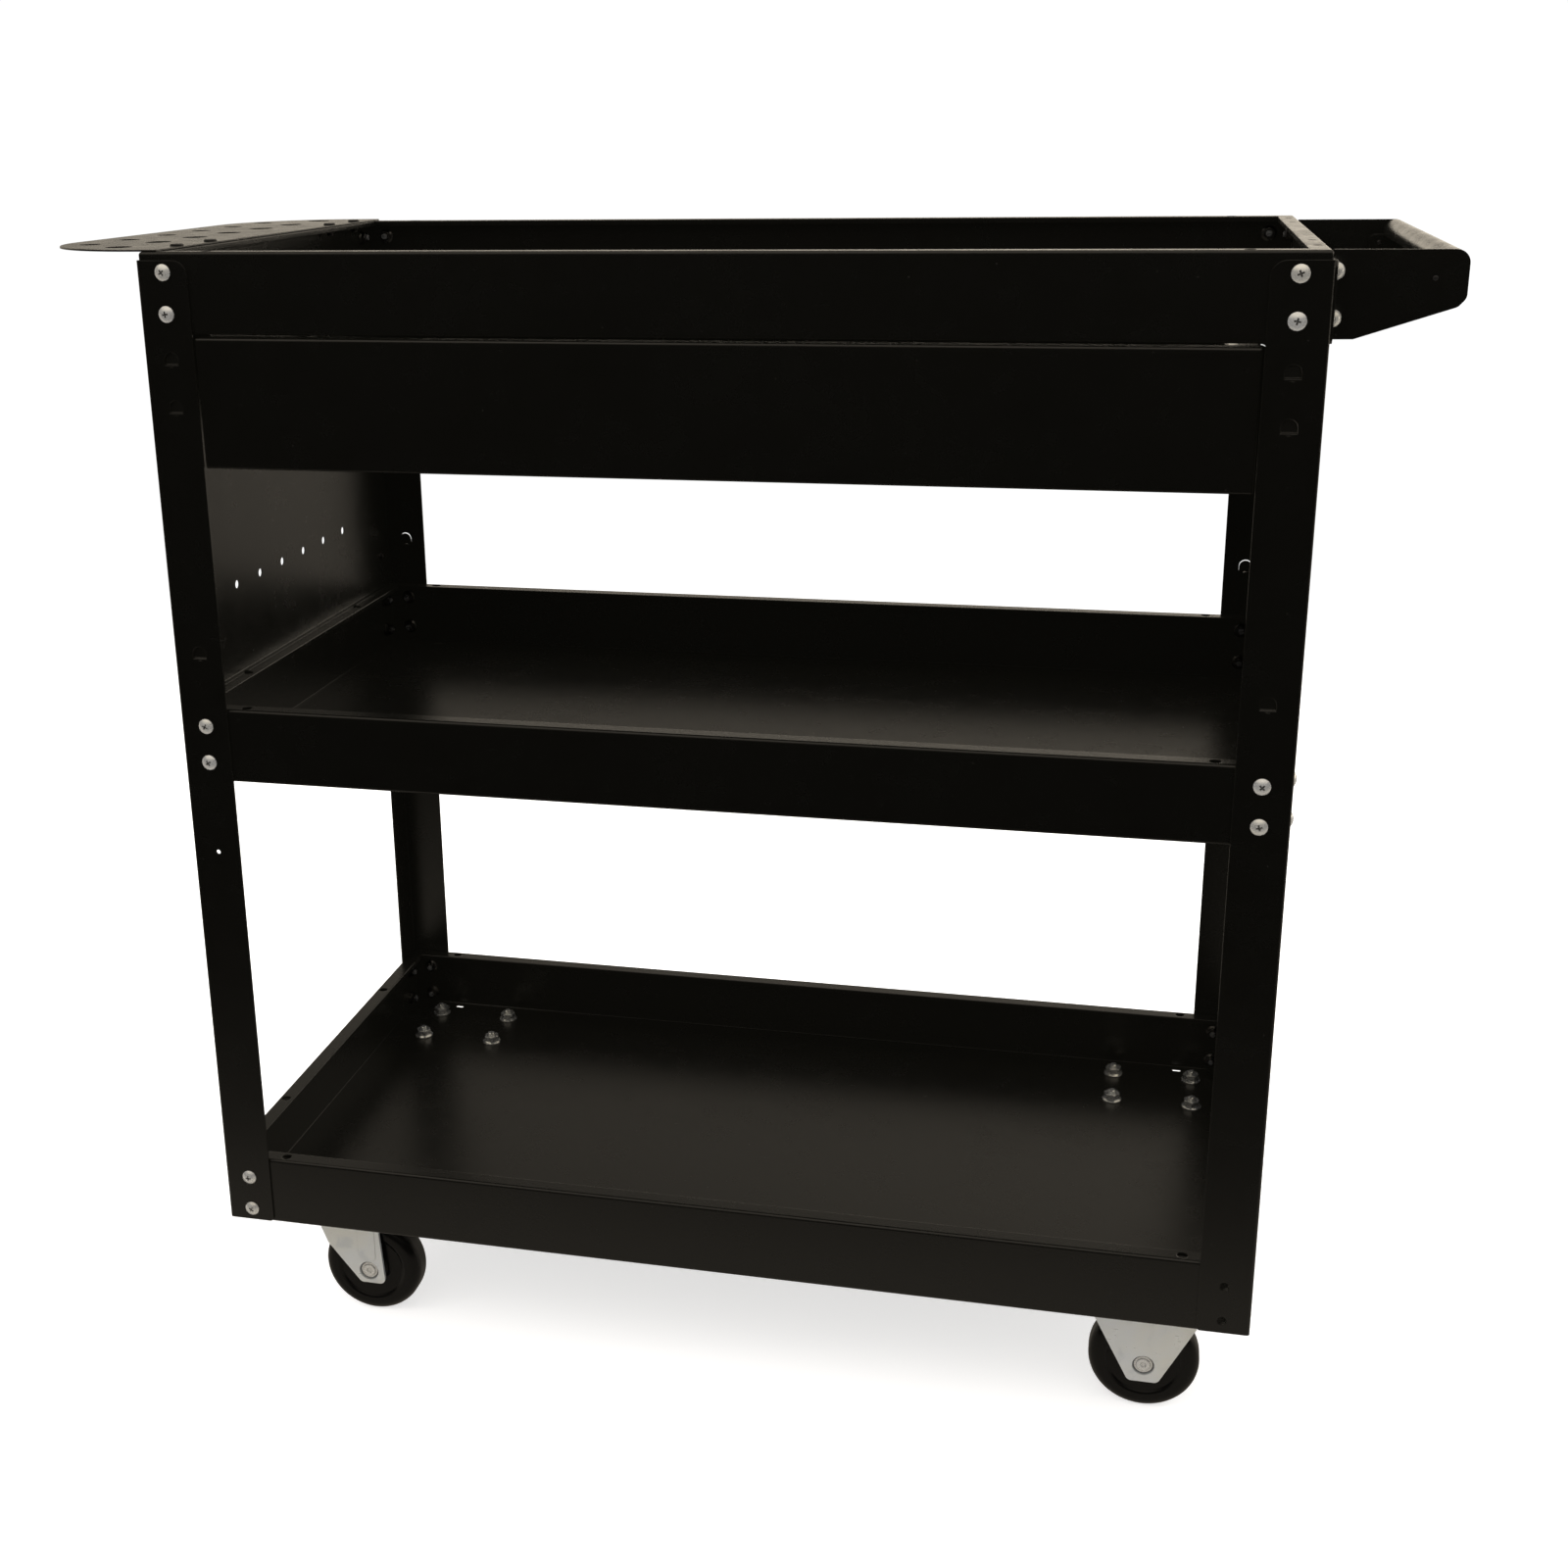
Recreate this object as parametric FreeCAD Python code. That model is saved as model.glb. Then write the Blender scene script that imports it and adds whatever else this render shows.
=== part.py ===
import FreeCAD, Part
import math
import os

# Three-tray tool cart on four casters, with a drawer under the top tray, a push
# handle at one end and a tool-holder plate at the other.
# Saved frame: +X towards the handle, -Y to the front (the drawer opens that way),
# +Z up; the origin is on the floor at the centre of the outline.  Millimetres.
# The pieces are modelled in a frame centred on the legs, with z = 0 at their feet;
# save() moves them.  sx is -1 left, +1 right; sy is -1 front, +1 rear.

Vector = FreeCAD.Vector
X_AXIS, Y_AXIS, Z_AXIS = (1, 0, 0), (0, 1, 0), (0, 0, 1)
SIDES = (-1, 1)
CORNERS = [(sx, sy) for sx in SIDES for sy in SIDES]

# ---------------------------------------------------------- shared dimensions
CART_L = 762.0          # over the legs, along X
CART_D = 400.0          # over the legs, along Y
END_X = CART_L / 2      # outer faces of the legs
FACE_Y = CART_D / 2
LEG_T = 1.5
LIP_X = END_X - LEG_T   # outer faces of the tray lips
LIP_Y = FACE_Y - LEG_T
HOLDER_OUT = 92.5       # tool-holder plate beyond the legs
HANDLE_OUT = 77.5       # handle beyond the legs
SHIFT_X = (HOLDER_OUT - HANDLE_OUT) / 2
LEG_FOOT_Z = 96.2       # feet of the legs above the floor

TRAY_T = 1.2
TRAY_H = 54.0
TRAY_TOP = {"top": 727.7, "middle": 411.8, "bottom": 52.8}
RIM_Z = TRAY_TOP["top"]
TOP_FLOOR_Z = RIM_Z - TRAY_H            # undersides of the top and bottom trays
UNDER_Z = TRAY_TOP["bottom"] - TRAY_H
TRAY_FLANGE = 12.5      # return flange on top of the lip, turned inwards
FLANGE_HOLE_R = 3.75
FLANGE_HOLE = (333.0, 192.2)
SIDE_HOLE = (373.2, 105.0)
HOLDER_HOLE_Y = 155.0   # further rim hole of the top tray, in line with SIDE_HOLE
HOLDER_HOLE_R = 2.7

SCREW_Z = {"top": (714.5, 687.2), "middle": (399.2, 372.2), "bottom": (36.7, 9.6)}
SCREW_COL = 19.2        # screw column from the outer corner of the leg
SCREW_X = END_X - SCREW_COL
SCREW_Y = FACE_Y - SCREW_COL

PANEL_T = 1.0
PANEL_RIVET_Y = SCREW_Y - 2.0
PANEL_RIVET_Z = (440.0, 560.0, 660.0)
RIVET_HOLE_R = 2.05

HANGER_T = 1.5
HANGER_RIVET_X = 352.0
HANGER_RIVET_Y = (-140, 0, 140)

PLATE_T = 2.5           # caster mounting plate
CASTER_X = 312.0
CASTER_Y = 150.0
BOLT_X, BOLT_Y = 33.0, 24.0             # half spacings of the caster bolts
BOLT_HOLE_R = 3.2

os.makedirs("parts", exist_ok=True)


# -------------------------------------------------------------------- helpers
def box(x0, x1, y0, y1, z0, z1):
    """Box between two corners, each pair given in either order."""
    x0, x1 = sorted((x0, x1))
    y0, y1 = sorted((y0, y1))
    z0, z1 = sorted((z0, z1))
    return Part.makeBox(x1 - x0, y1 - y0, z1 - z0, Vector(x0, y0, z0))


def cylinder(base, radius, length, axis=Z_AXIS):
    return Part.makeCylinder(radius, length, Vector(*base), Vector(*axis))


def cone(base, radius0, radius1, length, axis=Z_AXIS):
    return Part.makeCone(radius0, radius1, length, Vector(*base), Vector(*axis))


def prism(points, sweep):
    corners = [Vector(*point) for point in points]
    return Part.Face(Part.makePolygon(corners + corners[:1])).extrude(Vector(*sweep))


def prism_x(outline, x0, x1):
    """Prism along X over a (y, z) outline."""
    return prism([(x0, y, z) for y, z in outline], (x1 - x0, 0, 0))


def prism_y(outline, y0, y1):
    """Prism along Y over an (x, z) outline."""
    return prism([(x, y0, z) for x, z in outline], (0, y1 - y0, 0))


def slot(x, y, half_spacing, radius, z0, z1):
    """Pieces of an upright slot with round ends, long along X."""
    left, right = x - half_spacing, x + half_spacing
    return [box(left, right, y - radius, y + radius, z0, z1),
            cylinder((left, y, z0), radius, z1 - z0),
            cylinder((right, y, z0), radius, z1 - z0)]


def cut_all(shape, tools):
    return shape.cut(Part.makeCompound(tools))


def runs_along(edge, axis):
    try:
        straight = isinstance(edge.Curve, (Part.Line, Part.LineSegment))
    except TypeError:       # Curve raises this on an edge without a known curve type
        return False
    if not straight:
        return False
    span = edge.Vertexes[-1].Point.sub(edge.Vertexes[0].Point)
    return abs(getattr(span, axis)) > 0.999 * span.Length and span.Length > 1e-6


def at(axis=None, min_length=0, **centre):
    """Edge test: straight along an axis, long enough, centred at the given x, y, z."""
    def test(edge):
        if axis and not runs_along(edge, axis):
            return False
        middle = edge.CenterOfMass
        return edge.Length > min_length and all(
            abs(getattr(middle, name) - value) <= 0.02 for name, value in centre.items())
    return test


def fillet(shape, radius, *tests):
    """Round the edges that pass any of the tests."""
    edges = [edge for edge in shape.Edges if any(test(edge) for test in tests)]
    return shape.makeFillet(radius, edges) if edges else shape


def mirrored(shape, side_x, side_y):
    """Copy of a front left piece for another corner."""
    shape = shape.copy()
    if side_x > 0:
        shape = shape.mirror(Vector(0, 0, 0), Vector(*X_AXIS))
    if side_y > 0:
        shape = shape.mirror(Vector(0, 0, 0), Vector(*Y_AXIS))
    return shape


def placed(shape, base, axis, roll=0.0):
    """Copy with its origin at base and its +Z along axis, rolled about it by degrees."""
    turn = FreeCAD.Rotation(Vector(*Z_AXIS), Vector(*axis))
    turn = turn.multiply(FreeCAD.Rotation(Vector(*Z_AXIS), roll))
    shape = shape.copy()
    shape.Placement = FreeCAD.Placement(Vector(*base), turn)
    return shape


def save(name, *shapes):
    """Write the solids of the shapes, moved to the saved frame, as one file."""
    solids = []
    for shape in shapes:
        shape = shape.copy()
        shape.translate(Vector(SHIFT_X, 0, LEG_FOOT_Z))
        for solid in shape.Solids:
            if solid.Volume < 0:
                solid.reverse()
            solids.append(solid)
    result = solids[0] if len(solids) == 1 else Part.makeCompound(solids)
    assert result.isValid(), name
    result.exportStep("parts/%s.step" % name)


def save_pair(name, left):
    """Save a left piece and its mirror image."""
    save(name + "_left", left)
    save(name + "_right", mirrored(left, 1, -1))


# ------------------------------------------------------------------ fasteners
# Each is modelled along Z with its bearing face on z = 0.
def dome(radius, height, rim=0.0):
    """Slice of a sphere over a cylinder that reaches down from rim to z = 0."""
    sphere_r = (radius ** 2 + height ** 2) / (2 * height)
    sphere = Part.makeSphere(sphere_r, Vector(0, 0, rim + height - sphere_r))
    return sphere.common(cylinder((0, 0, 0), radius, rim + height + 1))


def hexagon(flats, height):
    """Hexagonal prism on z = 0 with its top corners bevelled."""
    radius = flats / math.sqrt(3.0)
    angles = [math.radians(60 * i) for i in range(6)]
    points = [(radius * math.cos(a), radius * math.sin(a), 0) for a in angles]
    bevel = cone((0, 0, 0), radius * 0.9 + height * 1.73, radius * 0.9, height)
    return prism(points, (0, 0, height)).common(bevel)


def truss_screw(length, head_r=5.5, head_h=2.9):
    """Cross-recess screw with a domed head."""
    rim = 0.7
    shank_r = 2.45
    head = dome(head_r, head_h - rim, rim)
    head = head.fuse(cylinder((0, 0, 0), head_r, rim)).removeSplitter()
    recess = None
    for angle in (0, 90):
        wing = prism_y([(-2.8, head_h + 0.5), (2.8, head_h + 0.5),
                        (1.1, head_h - 1.9), (-1.1, head_h - 1.9)], -0.55, 0.55)
        wing.rotate(Vector(0, 0, 0), Vector(*Z_AXIS), angle)
        recess = wing if recess is None else recess.fuse(wing)
    head = head.cut(recess)
    shank = cylinder((0, 0, -length), shank_r, length + 0.2)
    shank = shank.fuse(cone((0, 0, -length - 0.6), shank_r - 0.6, shank_r, 0.6))
    screw = head.fuse(shank)
    screw.rotate(Vector(0, 0, 0), Vector(*Z_AXIS), 20.0)
    return screw


def washer_screw():
    """Truss screw with a captive washer."""
    washer_t = 1.1
    washer = cylinder((0, 0, 0), 6.3, washer_t)
    washer = fillet(washer, 0.4, at(z=washer_t))
    screw = truss_screw(11.6, head_r=5.1, head_h=4.3)
    screw.translate(Vector(0, 0, washer_t))
    return screw.fuse(washer)


def pan_screw(length, shank_r=2.0, head_h=1.9):
    head = cylinder((0, 0, 0), 3.9, head_h)
    head = fillet(head, 0.9, at(z=head_h))
    for angle in (0, 90):
        groove = box(-1.9, 1.9, -0.4, 0.4, head_h - 1.1, head_h + 1)
        groove.rotate(Vector(0, 0, 0), Vector(*Z_AXIS), angle)
        head = head.cut(groove)
    return head.fuse(cylinder((0, 0, -length), shank_r, length + 0.1))


def socket_screw():
    """Low round head with a hexagonal socket."""
    screw = cylinder((0, 0, 0), 4.6, 0.9).fuse(cone((0, 0, 0.9), 4.6, 3.9, 0.5))
    screw = screw.fuse(cylinder((0, 0, -8.4), 2.45, 8.5))
    socket = hexagon(3.0, 3.0)
    socket.translate(Vector(0, 0, 0.2))
    return screw.cut(socket)


def hex_bolt():
    bolt = hexagon(9.8, 3.0).fuse(cylinder((0, 0, -12.2), 2.95, 12.3))
    return bolt.fuse(cone((0, 0, -12.8), 2.4, 2.95, 0.6))


def flange_nut(bore_r, flats, height, flange_r):
    flange = cylinder((0, 0, 0), flange_r, 0.9)
    flange = flange.fuse(cone((0, 0, 0.9), flange_r, flats / 2.0, 0.9))
    return hexagon(flats, height).fuse(flange).cut(cylinder((0, 0, -1), bore_r, height + 2))


def rivet(grip, shank_r=2.0, head_r=4.0, head_h=1.2, tail_r=3.0, tail_h=2.0):
    """Blind rivet: domed head above z = 0, coned tail below the grip."""
    body = dome(head_r, head_h).fuse(cylinder((0, 0, -grip), shank_r, grip + 0.1))
    return body.fuse(cone((0, 0, -grip - tail_h), shank_r * 0.8, tail_r, tail_h))


# ---------------------------------------------------------------------- trays
TRAY_BEND_R = 2.2
TRAY_SCREW_HOLE_R = 3.1
HEM_T = 0.9


def tray_shell(z0, z1):
    """Folded pan with an inward flange whose edge is turned down."""
    outer = box(-LIP_X, LIP_X, -LIP_Y, LIP_Y, z0, z1)
    outer = fillet(outer, 1.6, at("z"))
    outer = fillet(outer, TRAY_BEND_R, at(z=z0), at(z=z1))
    in_x, in_y = LIP_X - TRAY_T, LIP_Y - TRAY_T
    inner = box(-in_x, in_x, -in_y, in_y, z0 + TRAY_T, z1 - TRAY_T)
    inner = fillet(inner, TRAY_BEND_R - TRAY_T, at(z=z0 + TRAY_T), at(z=z1 - TRAY_T))
    shell = outer.cut(inner)
    mouth_x, mouth_y = LIP_X - TRAY_FLANGE, LIP_Y - TRAY_FLANGE
    shell = shell.cut(box(-mouth_x, mouth_x, -mouth_y, mouth_y, z1 - TRAY_T - 1, z1 + 1))
    hem_x, hem_y = mouth_x + HEM_T, mouth_y + HEM_T
    hem = box(-hem_x, hem_x, -hem_y, hem_y, z1 - 4.0, z1 - TRAY_T + 0.1)
    hem = hem.cut(box(-mouth_x, mouth_x, -mouth_y, mouth_y, z1 - 5, z1 + 1))
    shell = shell.fuse(hem).removeSplitter()
    mouth_edges = [at("y", 300, x=side * mouth_x, z=z1) for side in SIDES]
    mouth_edges += [at("x", 300, y=side * mouth_y, z=z1) for side in SIDES]
    return fillet(shell, 0.8, *mouth_edges)


def corner_slit(side_x, side_y, z1):
    """Slit at 45 degrees from a corner of the rim.

    The rear slits run inwards along the mitre, the front ones out through the end lip.
    """
    slit = box(-0.2, 0.2, 0, 26, z1 - 4.5, z1 + 1)
    slit.rotate(Vector(0, 0, 0), Vector(*Z_AXIS), 45 if side_x * side_y > 0 else -45)
    if side_y > 0:
        slit = slit.mirror(Vector(0, 0, 0), Vector(*Y_AXIS))
    slit.translate(Vector(side_x * (LIP_X - 1.6), side_y * (LIP_Y - 1.6), 0))
    return slit


def bolt_places(caster_x, caster_y):
    return [(caster_x + bx * BOLT_X, caster_y + by * BOLT_Y) for bx, by in CORNERS]


def tray(level):
    z1 = TRAY_TOP[level]
    z0 = z1 - TRAY_H
    rim_holes = [(*FLANGE_HOLE, FLANGE_HOLE_R),
                 (*SIDE_HOLE, HOLDER_HOLE_R if level == "top" else FLANGE_HOLE_R)]
    if level == "top":
        rim_holes.append((SIDE_HOLE[0], HOLDER_HOLE_Y, HOLDER_HOLE_R))
    cuts = []
    for sx, sy in CORNERS:
        cuts.append(corner_slit(sx, sy, z1))
        for x, y, radius in rim_holes:
            cuts.append(cylinder((sx * x, sy * y, z1 - 6), radius, 8))
        # slot in the corner of the floor
        slot_x, slot_y = sx * FLANGE_HOLE[0], sy * (FLANGE_HOLE[1] - 1.5)
        cuts += slot(slot_x, slot_y, 2.1, 1.9, z0 - 1, z0 + 2)
    for z in SCREW_Z[level]:
        for sx in SIDES:
            cuts.append(cylinder((sx * SCREW_X, -LIP_Y - 1, z), TRAY_SCREW_HOLE_R,
                                 2 * LIP_Y + 2, Y_AXIS))
        for sy in SIDES:
            cuts.append(cylinder((-LIP_X - 1, sy * SCREW_Y, z), TRAY_SCREW_HOLE_R,
                                 2 * LIP_X + 2, X_AXIS))
    if level == "bottom":
        for sx, sy in CORNERS:
            for x, y in bolt_places(sx * CASTER_X, sy * CASTER_Y):
                cuts.append(cylinder((x, y, z0 - 1), BOLT_HOLE_R, 3))
    if level == "top":
        for sx in SIDES:
            for y in HANGER_RIVET_Y:
                cuts.append(cylinder((sx * HANGER_RIVET_X, y, z0 - 1), RIVET_HOLE_R, 3))
    return cut_all(tray_shell(z0, z1), cuts)


for level in TRAY_TOP:
    save(level + "_tray", tray(level))

# ----------------------------------------------------------------------- legs
LEG_H = 722.2
LEG_FACE_W = 36.1       # flange lying in the front / back face
LEG_END_W = 29.3        # flange lying in the end face
LEG_BEND_R = 2.4
LEG_TOP_R = 9.5
LEG_FOOT_R = 3.0
LEG_SCREW_HOLE_R = 3.3
PEEP_Z = 303.5          # small hole in the face flange of the left legs
PEEP_R = 1.75
LANCE_Z = (653.3, 621.0, 448.7)         # feet of the arched lances
LANCE_R = 5.1
LANCE_H = 9.0


def arch(x, y, z, radius, height, depth):
    """Arched block, flat at the foot and round at the top, depth along Y."""
    block = box(x - radius, x + radius, y, y + depth, z, z + height - radius)
    return block.fuse(cylinder((x, y, z + height - radius), radius, depth, Y_AXIS))


def lance(x, y, z):
    """Tongue with a ramp at its foot, leaning inwards to its free top edge."""
    half, top = LANCE_R, z + LANCE_H
    side = ((0, z - 0.9), (0, z), (1.2, z + 1.0), (2.3, top), (3.3, top),
            (2.3, z + 0.5), (LEG_T, z - 0.9))       # (depth, z)
    tongue = prism_x([(y + depth, height) for depth, height in side], x - half, x + half)
    gap = 0.15
    keep = arch(x, y - 1, z, half - gap, LANCE_H - 0.45, 6.0)
    keep = keep.fuse(box(x - half + gap, x + half - gap, y - 1, y + 5, z - 2, z))
    return tongue.common(keep)


def leg(peep):
    """Front leg at the left: a pressed angle with its bend on the outer corner."""
    x0, y0 = -END_X, -FACE_Y
    x1, y1 = x0 + LEG_FACE_W, y0 + LEG_END_W
    angle = box(x0, x1, y0, y0 + LEG_T, 0, LEG_H)
    angle = angle.fuse(box(x0, x0 + LEG_T, y0, y1, 0, LEG_H)).removeSplitter()
    angle = fillet(angle, LEG_BEND_R, at("z", x=x0, y=y0))
    angle = fillet(angle, LEG_BEND_R - LEG_T + 0.2, at("z", x=x0 + LEG_T, y=y0 + LEG_T))
    for radius, z in ((LEG_TOP_R, LEG_H), (LEG_FOOT_R, 0)):
        angle = fillet(angle, radius, at("y", x=x1, z=z), at("x", y=y1, z=z))
    through = LEG_T + 2
    cuts = []
    for heights in SCREW_Z.values():
        for z in heights:
            cuts.append(cylinder((-SCREW_X, y0 - 1, z), LEG_SCREW_HOLE_R, through, Y_AXIS))
            cuts.append(cylinder((x0 - 1, -SCREW_Y, z), LEG_SCREW_HOLE_R, through, X_AXIS))
    if peep:
        cuts.append(cylinder((-SCREW_X, y0 - 1, PEEP_Z), PEEP_R, through, Y_AXIS))
    for z in LANCE_Z:
        cuts.append(arch(-SCREW_X, y0 - 1, z, LANCE_R, LANCE_H, through))
    for z in PANEL_RIVET_Z:
        cuts.append(cylinder((x0 - 1, -PANEL_RIVET_Y, z), RIVET_HOLE_R, through, X_AXIS))
    angle = cut_all(angle, cuts)
    for z in LANCE_Z:
        angle = angle.fuse(lance(-SCREW_X, y0, z))
    return angle


for side_name, sx in (("left", -1), ("right", 1)):
    leg_angle = leg(peep=sx < 0)
    for face_name, sy in (("front", -1), ("rear", 1)):
        save("leg_%s_%s" % (face_name, side_name), mirrored(leg_angle, sx, sy))

# --------------------------------------------------------- leg screws and nuts
HANDLE_T = 1.5          # the handle tabs lie on the right legs, under their screws


def save_leg_fasteners():
    """Screws through the legs and trays, each turned to its own roll."""
    screw = truss_screw(9.0)
    long_screw = washer_screw()
    nut = flange_nut(bore_r=2.5, flats=8.0, height=4.8, flange_r=5.9)
    screws, nuts, handle_screws = [], [], []
    places = [(level, z, sx, sy) for level in SCREW_Z for z in SCREW_Z[level]
              for sx, sy in CORNERS]
    for i, (level, z, sx, sy) in enumerate(places, 1):
        # the foot of the front right leg has no screws
        if level == "bottom" and sx > 0 and sy < 0:
            continue
        roll = (i * 37) % 90
        screws.append(placed(screw, (sx * SCREW_X, sy * FACE_Y, z), (0, sy, 0), roll))
        nuts.append(placed(nut, (sx * SCREW_X, sy * (LIP_Y - TRAY_T), z), (0, -sy, 0),
                           (i * 23) % 60))
        if level == "top" and sx > 0:
            head = (END_X + HANDLE_T, sy * SCREW_Y, z)
            handle_screws.append(placed(long_screw, head, (sx, 0, 0), roll))
        else:
            screws.append(placed(screw, (sx * END_X, sy * SCREW_Y, z), (sx, 0, 0), roll))
        nuts.append(placed(nut, (sx * (LIP_X - TRAY_T), sy * SCREW_Y, z), (-sx, 0, 0),
                           (i * 41) % 60))
    save("leg_screws", *screws)
    save("leg_nuts", *nuts)
    save("handle_screws", *handle_screws)


save_leg_fasteners()

# ----------------------------------------------------------------- end panels
PANEL_HALF = 190.0
PANEL_GAP = 0.02        # clear of the trays above and below
PANEL_FOOT = 4.8
PEG_Z = 479.0           # row of holes
PEG_PITCH = 40.0
PEG_N = 6
PEG_R = 3.25


def row(count, pitch):
    """Positions of a row centred on zero."""
    return [(i - (count - 1) / 2.0) * pitch for i in range(count)]


def end_panel():
    """Left panel, with its foot turned in over the flange of the middle tray."""
    x0 = -LIP_X
    z0, z1 = TRAY_TOP["middle"] + PANEL_GAP, TOP_FLOOR_Z - PANEL_GAP
    panel = box(x0, x0 + PANEL_T, -PANEL_HALF, PANEL_HALF, z0, z1)
    foot = box(x0, x0 + PANEL_FOOT, -PANEL_HALF, PANEL_HALF, z0, z0 + PANEL_T)
    panel = panel.fuse(foot).removeSplitter()
    panel = fillet(panel, 1.3, at("y", x=x0, z=z0))
    panel = fillet(panel, 0.6, at("y", x=x0 + PANEL_T, z=z0 + PANEL_T))
    cuts = [cylinder((x0 - 1, y, PEG_Z), PEG_R, PANEL_T + 2, X_AXIS)
            for y in row(PEG_N, PEG_PITCH)]
    for z in PANEL_RIVET_Z:
        for sy in SIDES:
            cuts.append(cylinder((x0 - 1, sy * PANEL_RIVET_Y, z), RIVET_HOLE_R,
                                 PANEL_T + 2, X_AXIS))
    # the foot is notched round the rim holes of the tray
    foot_zone = box(x0 + PANEL_T + 0.7, x0 + 30, -PANEL_HALF, PANEL_HALF, z0 - 1, z0 + 5)
    for sy in SIDES:
        notch = cylinder((-SIDE_HOLE[0], sy * SIDE_HOLE[1], z0 - 1),
                         FLANGE_HOLE_R + 0.4, PANEL_T + 1.5)
        cuts.append(notch.common(foot_zone))
    return cut_all(panel, cuts)


save_pair("end_panel", end_panel())

# ---------------------------------------------------------- tool-holder plate
HOLDER_HALF = 197.0
HOLDER_T = 1.2
HOLDER_R = 84.0
HOLE_PITCH = 56.0
# rows of holes: (count, distance beyond the legs, radius)
HOLDER_ROWS = ((7, 29.0, 9.25), (6, 66.5, 7.4))
HOLDER_SCREW_Y = (-HOLDER_HOLE_Y, -SIDE_HOLE[1], SIDE_HOLE[1], HOLDER_HOLE_Y)


def holder_plate():
    """Flat plate on the rim of the top tray, beyond its left end."""
    x_out = -END_X - HOLDER_OUT
    x_in = -LIP_X + TRAY_FLANGE
    plate = box(x_out, x_in, -HOLDER_HALF, HOLDER_HALF, RIM_Z, RIM_Z + HOLDER_T)
    plate = fillet(plate, HOLDER_R, at("z", x=x_out))
    plate = fillet(plate, 2.0, at("z", x=x_in))
    plate = fillet(plate, 0.45, at(z=RIM_Z + HOLDER_T))
    cuts = [cylinder((-END_X - out, y, RIM_Z - 1), radius, 4)
            for count, out, radius in HOLDER_ROWS for y in row(count, HOLE_PITCH)]
    cuts += [cylinder((-SIDE_HOLE[0], y, RIM_Z - 1), HOLDER_HOLE_R, 4)
             for y in HOLDER_SCREW_Y]
    return cut_all(plate, cuts)


save("tool_holder_plate", holder_plate())
save("holder_screws", *[placed(socket_screw(), (-SIDE_HOLE[0], y, RIM_Z + HOLDER_T),
                               Z_AXIS, roll=y) for y in HOLDER_SCREW_Y])
holder_nut = flange_nut(bore_r=2.5, flats=6.6, height=4.0, flange_r=3.95)
save("holder_nuts", *[placed(holder_nut, (-SIDE_HOLE[0], y, RIM_Z - TRAY_T),
                             (0, 0, -1), roll=10) for y in HOLDER_SCREW_Y])

# --------------------------------------------------------------------- handle
HANDLE_Y = 168.0        # outer face of each handle side plate
HANDLE_TOP = RIM_Z - 1.6
HANDLE_FOOT = 673.4
HANDLE_X = END_X + HANDLE_OUT
HANDLE_RIVET = (END_X + 59.0, 709.5)    # (x, z)
HANDLE_RIVET_HOLE_R = 1.25
GRIP_R = 8.2
GRIP_T = 1.2
GRIP_FOOT = 699.5


def handle_plate():
    """Front side plate with the tab that lies on the leg."""
    y_out, y_in = -HANDLE_Y, -HANDLE_Y + HANDLE_T
    outline = [(END_X, HANDLE_FOOT), (END_X + 15.5, 673.6), (END_X + 73.0, 692.8),
               (HANDLE_X, 698.0), (HANDLE_X, HANDLE_TOP), (END_X, HANDLE_TOP)]     # (x, z)
    plate = prism_y(outline, y_out, y_out + HANDLE_T)
    plate = fillet(plate, GRIP_R, at("y", x=HANDLE_X, z=HANDLE_TOP))
    plate = fillet(plate, 6.0, *[at("y", x=x, z=z) for x, z in outline[2:4]])
    tab_y = -197.0
    tab = box(END_X, END_X + HANDLE_T, tab_y, y_in, HANDLE_FOOT, RIM_Z - 6.0)
    tab = fillet(tab, 5.0, at("x", y=tab_y))
    plate = plate.fuse(tab).removeSplitter()
    plate = fillet(plate, 1.9, at("z", 20, x=END_X, y=y_in))
    cuts = [cylinder((END_X - 1, -SCREW_Y, z), 2.7, 4, X_AXIS) for z in SCREW_Z["top"]]
    x, z = HANDLE_RIVET
    cuts.append(cylinder((x, y_out - 1, z), HANDLE_RIVET_HOLE_R, 4, Y_AXIS))
    return cut_all(plate, cuts)


def handle_grip():
    """Rolled grip: outer wall, half-round top, short inner lip and an ear at each end."""
    half = HANDLE_Y - HANDLE_T
    roll_x, roll_z = HANDLE_X - GRIP_R, HANDLE_TOP - GRIP_R
    lip_foot = roll_z - 3.2
    wall = box(HANDLE_X - GRIP_T, HANDLE_X, -half, half, GRIP_FOOT, roll_z)
    roll = cylinder((roll_x, -half, roll_z), GRIP_R, 2 * half, Y_AXIS)
    roll = roll.cut(cylinder((roll_x, -half - 1, roll_z), GRIP_R - GRIP_T,
                             2 * half + 2, Y_AXIS))
    roll = roll.common(box(roll_x - GRIP_R - 1, HANDLE_X + 1, -half - 1, half + 1,
                           roll_z, HANDLE_TOP + 1))
    lip = box(roll_x - GRIP_R, roll_x - GRIP_R + GRIP_T, -half, half, lip_foot, roll_z)
    grip = wall.fuse([roll, lip]).removeSplitter()
    grip = fillet(grip, 0.5, at("y", z=GRIP_FOOT), at("y", z=lip_foot))
    ears = []
    ear_x = END_X + 52.0
    for sy in SIDES:
        ear = box(ear_x, HANDLE_X - GRIP_T + 0.2, sy * half, sy * (half - GRIP_T),
                  700.5, 715.5)
        ears.append(fillet(ear, 4.0, at("y", x=ear_x)))
    grip = grip.fuse(ears).removeSplitter()
    x, z = HANDLE_RIVET
    return cut_all(grip, [cylinder((x, -half - 1, z), HANDLE_RIVET_HOLE_R,
                                   2 * half + 2, Y_AXIS)])


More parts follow.
